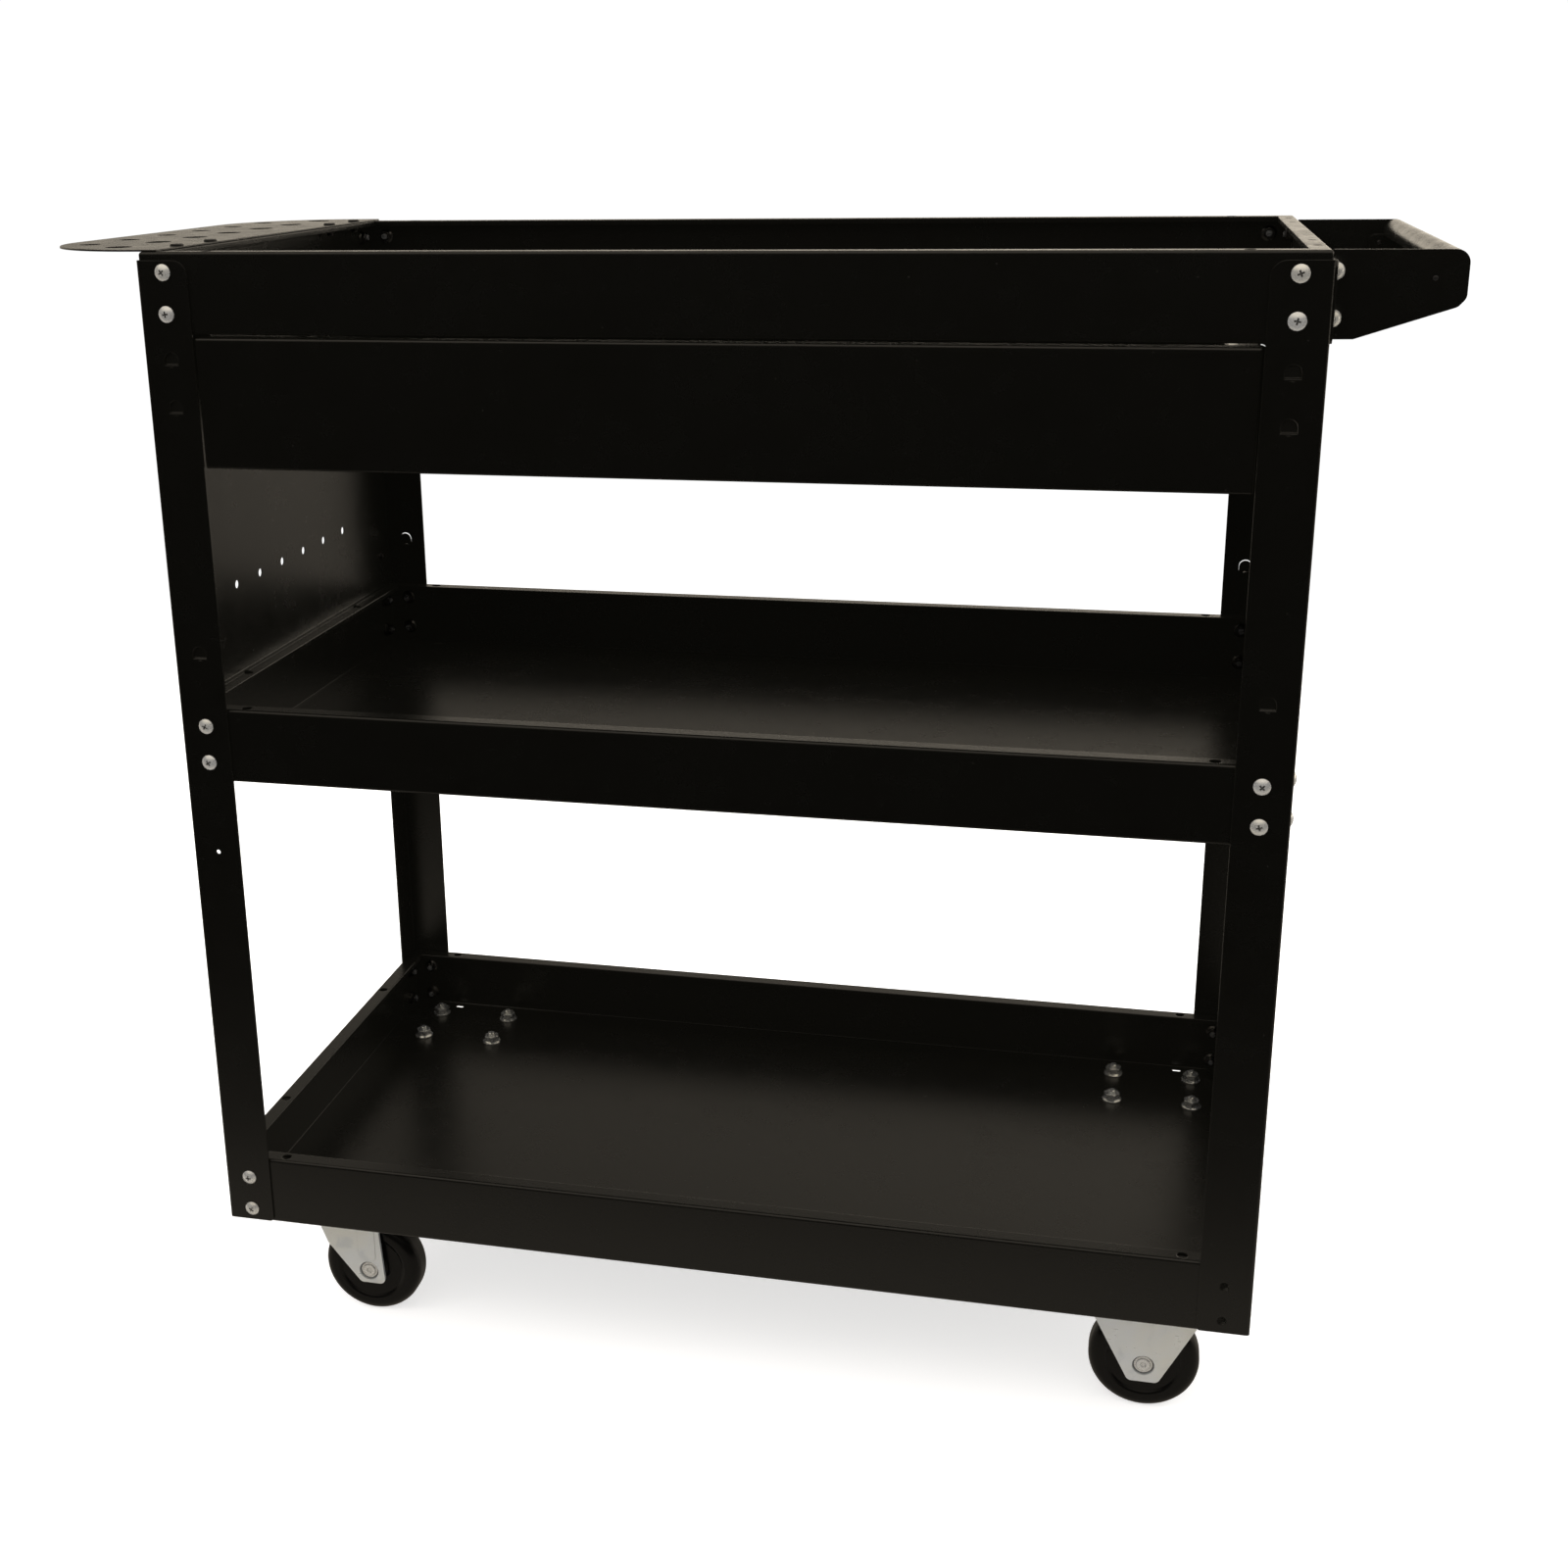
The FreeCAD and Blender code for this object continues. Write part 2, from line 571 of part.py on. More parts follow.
front_plate = handle_plate()
save("handle_side_plate_front", front_plate)
save("handle_side_plate_rear", mirrored(front_plate, -1, 1))
save("handle_grip", handle_grip())

# ------------------------------------------------------------- drawer hangers
BOX_HALF = 329.0        # outer face of the drawer box walls
SLIDE_Z = 623.0         # mid height of the slides
SLIDE_H = 35.0
SLIDE_W = 12.7          # slide between the hanger and the box
HANGER_X = BOX_HALF + SLIDE_W           # inner face of the hanger web
HANGER_SCREW_Y = (-168.0, 150.0)
HANGER_SCREW_HOLE_R = 2.25


def hanger():
    """Left angle under the top tray: an upright web and a flange turned outwards."""
    half, foot, flange_x = 180, 600.0, -360.5
    web = box(-HANGER_X - HANGER_T, -HANGER_X, -half, half, foot, TOP_FLOOR_Z)
    flange = box(flange_x, -HANGER_X, -half, half, TOP_FLOOR_Z - HANGER_T, TOP_FLOOR_Z)
    angle = web.fuse(flange).removeSplitter()
    angle = fillet(angle, 2.2, at("y", x=-HANGER_X, z=TOP_FLOOR_Z))
    angle = fillet(angle, 6.0, at("x", z=foot))
    angle = fillet(angle, 4.0, at("z", x=flange_x))
    cuts = [cylinder((-HANGER_RIVET_X, y, TOP_FLOOR_Z - 3), RIVET_HOLE_R, 6)
            for y in HANGER_RIVET_Y]
    cuts += [cylinder((-HANGER_X - 3, y, SLIDE_Z), HANGER_SCREW_HOLE_R, 6, X_AXIS)
             for y in HANGER_SCREW_Y]
    return cut_all(angle, cuts)


save_pair("drawer_hanger", hanger())


# --------------------------------------------- rivets of the frame and handle
def save_blind_rivets():
    panel_rivet = rivet(LEG_T + PANEL_T)
    rivets = [placed(panel_rivet, (sx * END_X, sy * PANEL_RIVET_Y, z), (sx, 0, 0))
              for sx, sy in CORNERS for z in PANEL_RIVET_Z]
    handle_rivet = rivet(HANDLE_T + GRIP_T, shank_r=1.2, head_r=1.45, head_h=0.4,
                         tail_r=1.7, tail_h=1.0)
    x, z = HANDLE_RIVET
    rivets += [placed(handle_rivet, (x, sy * HANDLE_Y, z), (0, sy, 0)) for sy in SIDES]
    hanger_rivet = rivet(TRAY_T + HANGER_T, tail_h=1.8)
    rivets += [placed(hanger_rivet, (sx * HANGER_RIVET_X, y, TOP_FLOOR_Z + TRAY_T), Z_AXIS)
               for sx in SIDES for y in HANGER_RIVET_Y]
    save("blind_rivets", *rivets)


save_blind_rivets()

# -------------------------------------------------------- ball bearing slides
SLIDE_T = 1.2
SLIDE_HALF = SLIDE_H / 2.0
BALL_R = 2.5
BALL_V = 13.65          # ball rows above and below mid height
BALL_U = 6.2            # ball rows from the hanger
CAGE_Y = (-48.0, 36.0)
BALL_Y = [CAGE_Y[0] + 6 + 12.0 * i for i in range(7)]
DRAWER_SCREW_Y = (-150.0, 130.0)
DRAWER_T = 1.0


def slide_box(u0, u1, v0, v1, y_range):
    """Box in the left slide: u from the hanger to the drawer wall, v up from mid height."""
    return box(-HANGER_X + u0, -HANGER_X + u1, *y_range, SLIDE_Z + v0, SLIDE_Z + v1)


def slide_outer():
    """Channel fixed to the hanger, its flanges ending in lips."""
    y_range = (-180, 165)
    flange_end, lip_end = 9.9, 10.1
    channel = slide_box(0, SLIDE_T, -SLIDE_HALF, SLIDE_HALF, y_range)
    for side in SIDES:
        edge_v = side * SLIDE_HALF
        channel = channel.fuse(slide_box(0, flange_end, side * (SLIDE_HALF - SLIDE_T),
                                         edge_v, y_range))
        channel = channel.fuse(slide_box(8.9, lip_end, side * 14.9, edge_v, y_range))
    channel = channel.removeSplitter()
    for u, radius in ((0, 1.1), (lip_end, 0.9)):
        channel = fillet(channel, radius, *[
            at("y", x=-HANGER_X + u, z=SLIDE_Z + side * SLIDE_HALF) for side in SIDES])
    return cut_all(channel, [cylinder((-HANGER_X - 1, y, SLIDE_Z), HANGER_SCREW_HOLE_R,
                                      4, X_AXIS) for y in HANGER_SCREW_Y])


def slide_inner():
    """Channel fixed to the drawer wall, opening towards the hanger."""
    y_range = (-185, 163)
    half, flange_end = 11.0, 2.4
    channel = slide_box(SLIDE_W - SLIDE_T, SLIDE_W, -half, half, y_range)
    for side in SIDES:
        in_v = side * (half - SLIDE_T)
        channel = channel.fuse(slide_box(flange_end, SLIDE_W, in_v, side * half, y_range))
        channel = channel.fuse(slide_box(flange_end, 3.5, in_v, side * 12.4, y_range))
    channel = channel.removeSplitter()
    return cut_all(channel, [cylinder((-HANGER_X + 10, y, SLIDE_Z), RIVET_HOLE_R, 4, X_AXIS)
                             for y in DRAWER_SCREW_Y])


def slide_cage():
    """Bent strips above and below, joined by a bridge at the rear, holed for the balls."""
    web_u = (1.45, 2.05)
    cage = None
    for side in SIDES:
        strip = slide_box(*web_u, side * 6.5, side * 14.0, CAGE_Y)
        strip = strip.fuse(slide_box(web_u[0], 8.7, side * 13.35, side * 13.95, CAGE_Y))
        cage = strip if cage is None else cage.fuse(strip)
    bridge = slide_box(*web_u, -14.0, 14.0, (CAGE_Y[1] - 7, CAGE_Y[1]))
    cage = cage.fuse(bridge).removeSplitter()
    cage = cut_all(cage, [
        cylinder((-HANGER_X + BALL_U, y, SLIDE_Z + side * BALL_V - 2), BALL_R + 0.12, 4)
        for y in BALL_Y for side in SIDES])
    # the ball holes can free slivers, so only the largest solid is kept
    return max(cage.Solids, key=lambda solid: solid.Volume)


save_pair("slide_outer", slide_outer())
save_pair("slide_inner", slide_inner())
save_pair("slide_cage", slide_cage())
balls = [Part.makeSphere(BALL_R, Vector(-HANGER_X + BALL_U, y, SLIDE_Z + side * BALL_V))
         for y in BALL_Y for side in SIDES]
save("slide_balls_left", *balls)
save("slide_balls_right", *[mirrored(ball, 1, -1) for ball in balls])

SCREW_TAIL = 1.8        # shank beyond the sheets it holds
fixed_screw = pan_screw(SLIDE_T + HANGER_T + SCREW_TAIL, head_h=1.6)
save("slide_screws_fixed", *[
    placed(fixed_screw, (sx * (HANGER_X - SLIDE_T), y, SLIDE_Z), (-sx, 0, 0), roll=15)
    for sx in SIDES for y in HANGER_SCREW_Y])
drawer_screw = pan_screw(DRAWER_T + SLIDE_T + SCREW_TAIL, shank_r=1.95)
save("slide_screws_drawer", *[
    placed(drawer_screw, (sx * (BOX_HALF - DRAWER_T), y, SLIDE_Z), (-sx, 0, 0), roll=30)
    for sx in SIDES for y in DRAWER_SCREW_Y])

# --------------------------------------------------------------------- drawer
DRAWER_Z0, DRAWER_Z1 = 584.0, 671.7     # height of the front
DRAWER_HALF = 343.8
FRONT_T = 1.2
FRONT_DEEP = 13.0
FRONT_Y = -FACE_Y
BOX_Y0 = FRONT_Y + FRONT_DEEP           # front wall of the box
BOX_Y1 = 164.0
BOX_Z0, BOX_Z1 = 592.5, 657.0
DRAWER_RIVET_X = (-270.0, -90.0, 90.0, 270.0)
DRAWER_RIVET_Z = 645.5


def drawer_front():
    """Hollow front, open to the rear, with a turned-up lip and a strip tying it to the box."""
    in_x = DRAWER_HALF - FRONT_T
    front = box(-DRAWER_HALF, DRAWER_HALF, FRONT_Y, BOX_Y0, DRAWER_Z0, DRAWER_Z1)
    front = fillet(front, 1.0, at("y"))
    front = fillet(front, 2.0, at(y=FRONT_Y))
    cavity = box(-in_x, in_x, FRONT_Y + FRONT_T, BOX_Y0 + 1,
                 DRAWER_Z0 + FRONT_T, DRAWER_Z1 - FRONT_T)
    cavity = fillet(cavity, 0.8, at(y=FRONT_Y + FRONT_T))
    front = front.cut(cavity)
    lip = box(-in_x, in_x, BOX_Y0 - FRONT_T, BOX_Y0, DRAWER_Z0 + 0.6, DRAWER_Z0 + 7.0)
    front = front.fuse(lip).removeSplitter()
    tie = box(-300.0, 300.0, BOX_Y0 - FRONT_T, BOX_Y0, DRAWER_Z1 - 34.0, DRAWER_Z1 - 0.6)
    tie = cut_all(tie, [cylinder((x, BOX_Y0 - 3, DRAWER_RIVET_Z), RIVET_HOLE_R, 6, Y_AXIS)
                        for x in DRAWER_RIVET_X])
    return front.fuse(tie).removeSplitter()


def drawer_box():
    """Open box with a thick hem round the top of its walls."""
    in_x = BOX_HALF - DRAWER_T
    floor_z = BOX_Z0 + DRAWER_T
    body = box(-BOX_HALF, BOX_HALF, BOX_Y0, BOX_Y1, BOX_Z0, BOX_Z1)
    body = fillet(body, 2.0, at("z"), at(z=BOX_Z0))
    cavity = box(-in_x, in_x, BOX_Y0 + DRAWER_T, BOX_Y1 - DRAWER_T, floor_z, BOX_Z1 + 1)
    cavity = fillet(cavity, 1.0, at("z"), at(z=floor_z))
    body = body.cut(cavity)
    hem_t = 2.2
    hem = box(-BOX_HALF, BOX_HALF, BOX_Y0, BOX_Y1, BOX_Z1 - 5.0, BOX_Z1)
    hem = fillet(hem, 2.0, at("z"))
    hem = hem.cut(box(-BOX_HALF + hem_t, BOX_HALF - hem_t, BOX_Y0 + hem_t, BOX_Y1 - hem_t,
                      BOX_Z1 - 6, BOX_Z1 + 1))
    body = body.fuse(hem).removeSplitter()
    cuts = [cylinder((sx * (BOX_HALF - 2), y, SLIDE_Z), RIVET_HOLE_R, 4, (sx, 0, 0))
            for sx in SIDES for y in DRAWER_SCREW_Y]
    cuts += [cylinder((x, BOX_Y0 - 1, DRAWER_RIVET_Z), RIVET_HOLE_R, 4, Y_AXIS)
             for x in DRAWER_RIVET_X]
    return cut_all(body, cuts)


save("drawer_front", drawer_front())
save("drawer_box", drawer_box())
drawer_rivet = rivet(DRAWER_T + FRONT_T)
save("drawer_rivets", *[placed(drawer_rivet, (x, BOX_Y0 + DRAWER_T, DRAWER_RIVET_Z), Y_AXIS)
                        for x in DRAWER_RIVET_X])

# -------------------------------------------------------------------- casters
PLATE_L, PLATE_W = 92.0, 66.0
PLATE_Z = UNDER_Z - PLATE_T             # underside of the mounting plate
WHEEL_R = 39.4
WHEEL_W = 24.0
AXLE_Z = -LEG_FOOT_Z + WHEEL_R
TRAIL = 28.0            # swivel wheels trail towards +X
FORK_IN = 14.5          # inner faces of the cheeks from the wheel's mid plane
FORK_T = 2.5
FORK_OUT = FORK_IN + FORK_T
BOSS_DEPTH = 1.2        # boss pressed inwards round the axle
BOSS_IN = FORK_IN - BOSS_DEPTH
SEAT_R = 7.9            # recess for the axle head in the outer cheek
SEAT_DEPTH = 2.1
AXLE_R = 3.95
SLEEVE_R = 6.0
RACE_H = 4.0            # gap between the plate and the swivel fork
FORK_TOP = PLATE_Z - RACE_H
FORK_ROOF = FORK_TOP - FORK_T           # underside of the fork's top
KING_R = 5.0


def outward(y):
    """Direction along Y that faces out of the cart at a caster."""
    return 1 if y > 0 else -1


def mount_plate(x, y):
    plate = box(x - PLATE_L / 2, x + PLATE_L / 2, y - PLATE_W / 2, y + PLATE_W / 2,
                PLATE_Z, UNDER_Z)
    plate = fillet(plate, 8.0, at("z"))
    cuts = []
    for bolt_x, bolt_y in bolt_places(x, y):
        cuts += slot(bolt_x, bolt_y, 2.5, BOLT_HOLE_R, PLATE_Z - 1, UNDER_Z + 1)
    return cut_all(plate, cuts)


def cheek(outline, y, side, low):
    """Side plate over an (x, z) outline whose corners at height low are rounded."""
    y0, y1 = sorted((y + side * FORK_IN, y + side * FORK_OUT))
    return fillet(prism_y(outline, y0, y1), 4.6, at("y", z=low))


def axle_seat(fork, x, y):
    """Add inward bosses, the recess for the axle head and the axle bore."""
    for side in SIDES:
        fork = fork.fuse(cylinder((x, y + side * BOSS_IN, AXLE_Z), 9.4,
                                  BOSS_DEPTH + 0.3, (0, side, 0)))
    out = outward(y)
    fork = fork.cut(cone((x, y + out * (FORK_OUT - SEAT_DEPTH), AXLE_Z), SEAT_R - 0.7,
                         SEAT_R, SEAT_DEPTH + 0.01, (0, out, 0)))
    return fork.cut(cylinder((x, y - 30, AXLE_Z), AXLE_R + 0.06, 60, Y_AXIS))


def swivel_plate(x, y):
    """Mounting plate with a skirt ring round the balls."""
    plate = mount_plate(x, y)
    plate = plate.cut(cylinder((x, y, PLATE_Z - 1), KING_R, PLATE_T + 2))
    skirt_h = 2.6
    skirt = cylinder((x, y, PLATE_Z - skirt_h), 24.6, skirt_h)
    skirt = skirt.cut(cylinder((x, y, PLATE_Z - skirt_h - 1), 22.6, 4.0))
    return plate.fuse(skirt)


def kingpin(x, y):
    """Pin from the mounting plate to a wide head under the fork's top."""
    shank_z = FORK_ROOF - 0.1
    head_z = shank_z - 3.0
    pin = cylinder((x, y, shank_z), KING_R, UNDER_Z - 0.05 - shank_z)
    pin = pin.fuse(cylinder((x, y, head_z), 9.0, 3.0))
    return fillet(pin, 1.2, at(z=head_z))


def swivel_fork(x, y):
    axle_x = x + TRAIL
    back, front = x - 15.0, x + 37.1
    knee_x, knee_z = x - 4.6, -35.3
    low = AXLE_Z - 10.6
    fork = cylinder((x, y, FORK_ROOF), 28.0, FORK_T)
    fork = fork.fuse(box(back, front, y - FORK_OUT, y + FORK_OUT,
                         FORK_ROOF, FORK_TOP)).removeSplitter()
    outline = [(back, FORK_TOP - 0.4), (front, FORK_TOP - 0.4), (axle_x + 13.4, low),
               (axle_x - 7.0, low), (knee_x, knee_z)]
    for side in SIDES:
        plate = cheek(outline, y, side, low)
        fork = fork.fuse(fillet(plate, 9.0, at("y", x=knee_x, z=knee_z)))
    fork = fork.removeSplitter()
    fork = fillet(fork, 2.0, *[at("x", 5, y=y + side * FORK_OUT, z=FORK_TOP)
                               for side in SIDES])
    # raised panel on the outside of each cheek
    for side in SIDES:
        pad_y = y + side * (FORK_OUT + 0.5)
        pad = box(axle_x - 7.6, axle_x + 6.4, y + side * (FORK_OUT - 0.4), pad_y,
                  AXLE_Z + 9.6, FORK_TOP - 5.0)
        pad = fillet(pad, 4.0, at("y"))
        fork = fork.fuse(fillet(pad, 0.4, at(y=pad_y)))
    fork = axle_seat(fork, axle_x, y)
    return fork.cut(cylinder((x, y, FORK_ROOF - 1), KING_R + 0.08, FORK_T + 2))


def swivel_balls(x, y):
    count, race_r = 15, 20.0
    angles = [math.radians(i * 360 / count) for i in range(count)]
    return [Part.makeSphere(1.95, Vector(x + race_r * math.cos(angle),
                                         y + race_r * math.sin(angle),
                                         FORK_TOP + RACE_H / 2)) for angle in angles]


def rigid_bracket(x, y):
    """Mounting plate with two fixed cheeks."""
    bracket = mount_plate(x, y)
    low = AXLE_Z - 13.5
    outline = [(x - 45.0, PLATE_Z + 0.4), (x + 45.0, PLATE_Z + 0.4),
               (x + 10.6, low), (x - 10.6, low)]
    for side in SIDES:
        bracket = bracket.fuse(cheek(outline, y, side, low))
    return axle_seat(bracket, x, y)


def axle(x, y):
    """Axle whose head sits in the outer cheek."""
    out = outward(y)
    seat, beyond = FORK_OUT - SEAT_DEPTH, FORK_OUT + 9.0
    inwards = (0, -out, 0)
    shank = cylinder((x, y + out * seat, AXLE_Z), AXLE_R, seat + beyond, inwards)
    shank = shank.fuse(cone((x, y - out * beyond, AXLE_Z), AXLE_R, AXLE_R - 0.8, 0.8,
                            inwards))
    rim_h, head_h = 0.7, 1.5
    head = cylinder((0, 0, 0), 6.9, rim_h).fuse(cylinder((0, 0, 0), 4.9, head_h))
    # the length limit leaves out the inner circle at the height of the rim
    head = fillet(head, 0.5, at(z=head_h), at(min_length=36, z=rim_h))
    head = head.cut(cone((0, 0, rim_h), 1.6, 2.6, 1.2))
    return shank.fuse(placed(head, (x, y + out * seat, AXLE_Z), (0, out, 0)))


def axle_nut(x, y):
    out = outward(y)
    nut = flange_nut(bore_r=4.0, flats=12.6, height=7.0, flange_r=7.4)
    return placed(nut, (x, y - out * FORK_OUT, AXLE_Z), (0, -out, 0), roll=12)


def axle_sleeve(x, y):
    """Spacer round the axle, between the bosses."""
    gap = 0.02
    sleeve = cylinder((x, y - BOSS_IN + gap, AXLE_Z), SLEEVE_R, 2 * (BOSS_IN - gap), Y_AXIS)
    return sleeve.cut(cylinder((x, y - 20, AXLE_Z), AXLE_R + 0.05, 40, Y_AXIS))


def wheel(x, y):
    """Moulded wheel: round-shouldered tread, shallow dished sides and a hub."""
    half, hub_half, shoulder = WHEEL_W / 2.0, BOSS_IN - 0.4, 8.0
    flat_r, flat_z = WHEEL_R - shoulder, half - shoulder
    # one side from the bore to the shoulder: (radius, z)
    side = [(SLEEVE_R + 0.06, -hub_half), (12.0, -hub_half), (13.0, -10.4),
            (25.2, -10.4), (26.6, -11.4), (28.0, -half), (flat_r, -half)]
    other = [(radius, -z) for radius, z in reversed(side)]

    def lines(points):
        return [Part.makeLine(Vector(a[0], 0, a[1]), Vector(b[0], 0, b[1]))
                for a, b in zip(points[:-1], points[1:])]

    def arc(*points):
        return Part.Arc(*[Vector(radius, 0, z) for radius, z in points]).toShape()

    bulge = shoulder * math.sin(math.radians(45))
    mid_r, mid_z = flat_r + bulge, flat_z + bulge
    edges = lines(side)
    edges.append(arc((flat_r, -half), (mid_r, -mid_z), (WHEEL_R, -flat_z)))
    edges += lines([(WHEEL_R, -flat_z), (WHEEL_R, flat_z)])
    edges.append(arc((WHEEL_R, flat_z), (mid_r, mid_z), (flat_r, half)))
    edges += lines(other)
    edges += lines([other[-1], side[0]])
    body = Part.Face(Part.Wire(edges)).revolve(Vector(0, 0, 0), Vector(*Z_AXIS), 360)
    # round the inner edges of the two side faces
    body = fillet(body, 1.2, lambda edge: abs(abs(edge.CenterOfMass.z) - half) < 0.01
                  and edge.Length < 2 * math.pi * 29)
    return placed(body, (x, y, AXLE_Z), Y_AXIS)


def save_caster_fasteners():
    bolt = hex_bolt()
    nut = flange_nut(bore_r=3.0, flats=11.6, height=6.4, flange_r=8.1)
    bolts, nuts = [], []
    for sx, sy in CORNERS:
        for x, y in bolt_places(sx * CASTER_X, sy * CASTER_Y):
            roll = 10 if x > sx * CASTER_X else -10
            bolts.append(placed(bolt, (x, y, PLATE_Z), (0, 0, -1), roll))
            nuts.append(placed(nut, (x, y, UNDER_Z + TRAY_T), Z_AXIS, (x * 7 + y * 3) % 60))
    save("caster_bolts", *bolts)
    save("caster_nuts", *nuts)


save_caster_fasteners()

# swivel casters at the left
for tag, y in (("front_left", -CASTER_Y), ("rear_left", CASTER_Y)):
    axle_x = -CASTER_X + TRAIL
    save("caster_plate_" + tag, swivel_plate(-CASTER_X, y))
    save("caster_kingpin_" + tag, kingpin(-CASTER_X, y))
    save("caster_balls_" + tag, *swivel_balls(-CASTER_X, y))
    save("caster_fork_" + tag, swivel_fork(-CASTER_X, y))
    save("caster_axle_" + tag, axle(axle_x, y))
    save("caster_axle_nut_" + tag, axle_nut(axle_x, y))
    save("caster_sleeve_" + tag, axle_sleeve(axle_x, y))
    save("wheel_" + tag, wheel(axle_x, y))

# rigid casters at the right
for tag, y in (("front_right", -CASTER_Y), ("rear_right", CASTER_Y)):
    save("caster_bracket_" + tag, rigid_bracket(CASTER_X, y))
    save("wheel_" + tag, wheel(CASTER_X, y))
for name, build in (("bolts", axle), ("nuts", axle_nut), ("sleeves", axle_sleeve)):
    save("rigid_axle_" + name, *[build(CASTER_X, sy * CASTER_Y) for sy in SIDES])
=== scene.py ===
"""Finishes, studio and camera for a black steel trolley with trays and drawers on casters.

Metres, +Z up.  The floor is z = 0, X runs left to right in the view and the camera
stands on the -Y side.  All shapes come from the CAD pieces; only the floor is modelled.
"""
import bpy
import bmesh
import math
from mathutils import Matrix, Vector

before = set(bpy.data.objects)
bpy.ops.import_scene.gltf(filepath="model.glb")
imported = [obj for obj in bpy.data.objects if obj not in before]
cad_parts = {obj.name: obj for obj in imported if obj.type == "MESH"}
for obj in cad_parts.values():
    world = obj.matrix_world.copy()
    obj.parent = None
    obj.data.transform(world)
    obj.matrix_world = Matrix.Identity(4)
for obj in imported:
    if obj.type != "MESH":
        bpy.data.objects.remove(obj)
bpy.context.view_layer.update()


# ---------------------------------------------------------------- node helpers
class Tree:
    """Short calls for building a shader node tree."""

    def __init__(self, node_tree):
        self.tree = node_tree
        self.tree.nodes.clear()

    def fill(self, socket, value):
        """Link the input if the value is a socket, otherwise set it."""
        if isinstance(value, bpy.types.NodeSocket):
            self.tree.links.new(value, socket)
        else:
            socket.default_value = value

    def set_inputs(self, node, **named):
        for key, value in named.items():
            self.fill(node.inputs[key.replace("_", " ")], value)

    def node(self, kind, *ordered, settings=None, **named):
        """Add a node; inputs are given in socket order or by name."""
        node = self.tree.nodes.new("ShaderNode" + kind)
        for key, value in (settings or {}).items():
            setattr(node, key, value)
        for place, value in enumerate(ordered):
            self.fill(node.inputs[place], value)
        self.set_inputs(node, **named)
        return node

    def out(self, kind, *ordered, **named):
        """Add a node and return its first output."""
        return self.node(kind, *ordered, **named).outputs[0]

    def math(self, operation, *values, clamp=False):
        return self.out("Math", *values, settings={"operation": operation, "use_clamp": clamp})

    def add(self, a, b, clamp=False):
        return self.math("ADD", a, b, clamp=clamp)

    def times(self, a, b):
        return self.math("MULTIPLY", a, b)

    def remap(self, value, span, to=(0.0, 1.0), smooth=False):
        interpolation = "SMOOTHSTEP" if smooth else "LINEAR"
        return self.out("MapRange", value, *span, *to,
                        settings={"interpolation_type": interpolation})

    def mix(self, factor, a, b, blend="MIX"):
        node = self.node("Mix", settings={"data_type": "RGBA", "blend_type": blend})
        # the factor, then the colour pair A and B
        for place, value in ((0, factor), (6, a), (7, b)):
            self.fill(node.inputs[place], value)
        return node.outputs[2]

    def tint(self, under, colour, where, amount):
        """Lay a colour over another through a mask."""
        return self.mix(self.times(where, amount), under, colour)

    def noise(self, co, scale, detail=3.0, rough=0.55, warp=0.0):
        return self.out("TexNoise", Vector=co, Scale=scale, Detail=detail,
                        Roughness=rough, Distortion=warp)

    def streaks(self, co, stretch, turn=(0.0, 0.0, 0.0), **noise):
        """Noise with its own scale on each axis."""
        mapped = self.out("Mapping", Vector=co, Rotation=turn, Scale=stretch)
        return self.noise(mapped, scale=1.0, **noise)

    def bump(self, height, strength, distance, normal=None):
        node = self.node("Bump", Strength=strength, Distance=distance, Height=height)
        if normal is not None:
            self.set_inputs(node, Normal=normal)
        return node.outputs[0]

    def rounded(self, radius):
        """Normal with the edges rounded off."""
        return self.out("Bevel", settings={"samples": 6}, Radius=radius)

    def edges(self, rounded):
        """1 where the rounded normal leaves the surface normal, 0 on flats."""
        normal = self.node("NewGeometry").outputs["Normal"]
        dot = self.node("VectorMath", rounded, normal, settings={"operation": "DOT_PRODUCT"})
        return self.remap(dot.outputs["Value"], span=(0.995, 0.86), smooth=True)

    def ramp(self, factor, stops):
        """Eased grey ramp from (position, value) pairs."""
        node = self.node("ValToRGB", factor)
        elements = node.color_ramp.elements
        node.color_ramp.interpolation = "EASE"
        while len(elements) < len(stops):
            elements.new(0.5)
        for element, (position, value) in zip(elements, stops):
            element.position = position
            element.color = (value, value, value, 1.0)
        return node.outputs[0]


def rgb(red, green, blue):
    return (red, green, blue, 1.0)


def scaled(colour, factors):
    return rgb(*(part * factor for part, factor in zip(colour, factors)))


def new_material(name):
    mat = bpy.data.materials.new(name)
    mat.use_nodes = True
    return mat, Tree(mat.node_tree)


def product_material(name):
    """Material, tree, object coordinates and the Principled node."""
    mat, t = new_material(name)
    co = t.node("TexCoord").outputs["Object"]
    bsdf = t.node("BsdfPrincipled")
    t.node("OutputMaterial", bsdf.outputs[0])
    return mat, t, co, bsdf


